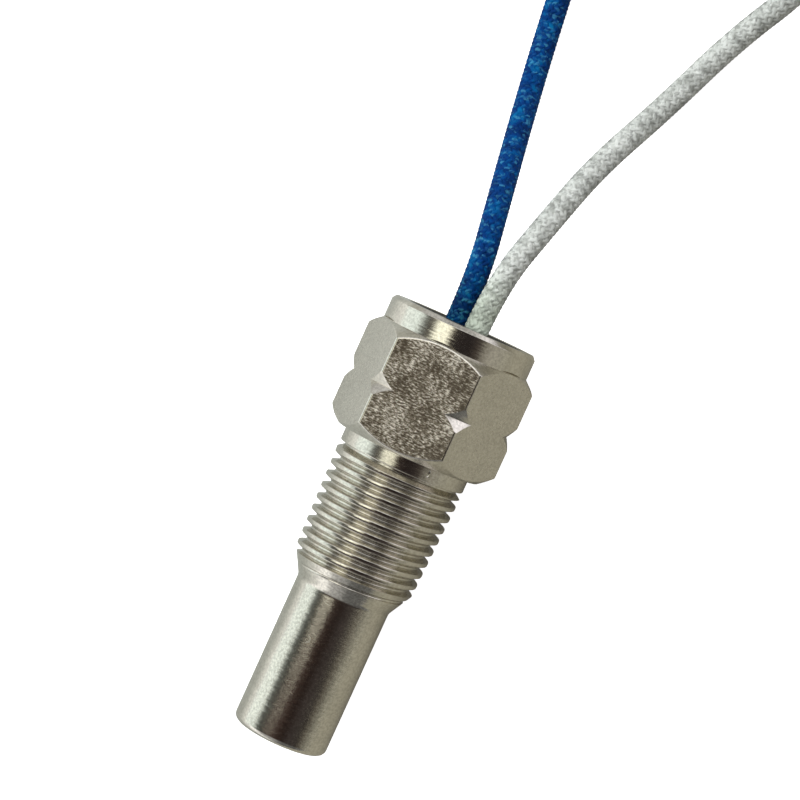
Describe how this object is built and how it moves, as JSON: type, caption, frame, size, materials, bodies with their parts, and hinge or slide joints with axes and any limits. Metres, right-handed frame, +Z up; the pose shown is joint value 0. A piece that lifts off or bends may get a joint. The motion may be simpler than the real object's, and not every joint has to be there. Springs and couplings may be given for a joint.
{
  "type": "temperature sender",
  "caption": "Screw-in temperature sender: plated hexagon body with a plain probe and a tapered thread, a sensing disc sealed in the tip, and braided leads out of a potted mouth.",
  "frame": {"origin": "on the bench, under the middle of the body's own length, where the sender has come to rest", "axes": "+Z up from the bench, +Y along the body from probe tip to wire end as seen from above; the body's own axis rises 5.3 degrees towards the wire end, because it lies on its probe's rim and on a hexagon flat"},
  "size_m": [0.042, 0.1592, 0.0203],
  "materials": {
    "nickel_plate": "satin nickel plate on turned brass",
    "potting_resin": "matte cast resin",
    "blue_braid": "varnished braid",
    "white_braid": "varnished braid",
    "tinned_wire": "tinned copper",
    "crimp_brass": "plain brass",
    "shrink_sleeve": "matte shrunk sleeve",
    "glass_sleeve": "woven insulating sleeve",
    "tip_filler": "matte heat-conducting filler",
    "disc_coating": "dipped gloss coating",
    "tie_plastic": "moulded, half gloss"
  },
  "bodies": {
    "root": {"sender_body": "nickel_plate", "potting_plug": "potting_resin", "sensing_disc": "disc_coating", "tip_compound": "tip_filler", "coil_tie": "tie_plastic", "element_leg_blue": "tinned_wire", "leg_sleeve_blue": "glass_sleeve", "splice_blue": "crimp_brass", "splice_sleeve_blue": "shrink_sleeve", "lead_core_blue": "tinned_wire", "lead_root_blue": "blue_braid", "blue_lead": "blue_braid", "blue_coil": "blue_braid", "tinned_end_blue": "tinned_wire", "element_leg_white": "tinned_wire", "leg_sleeve_white": "glass_sleeve", "splice_white": "crimp_brass", "splice_sleeve_white": "shrink_sleeve", "lead_core_white": "tinned_wire", "lead_root_white": "white_braid", "white_lead": "white_braid", "white_coil": "white_braid", "tinned_end_white": "tinned_wire"}
  },
  "joints": []
}
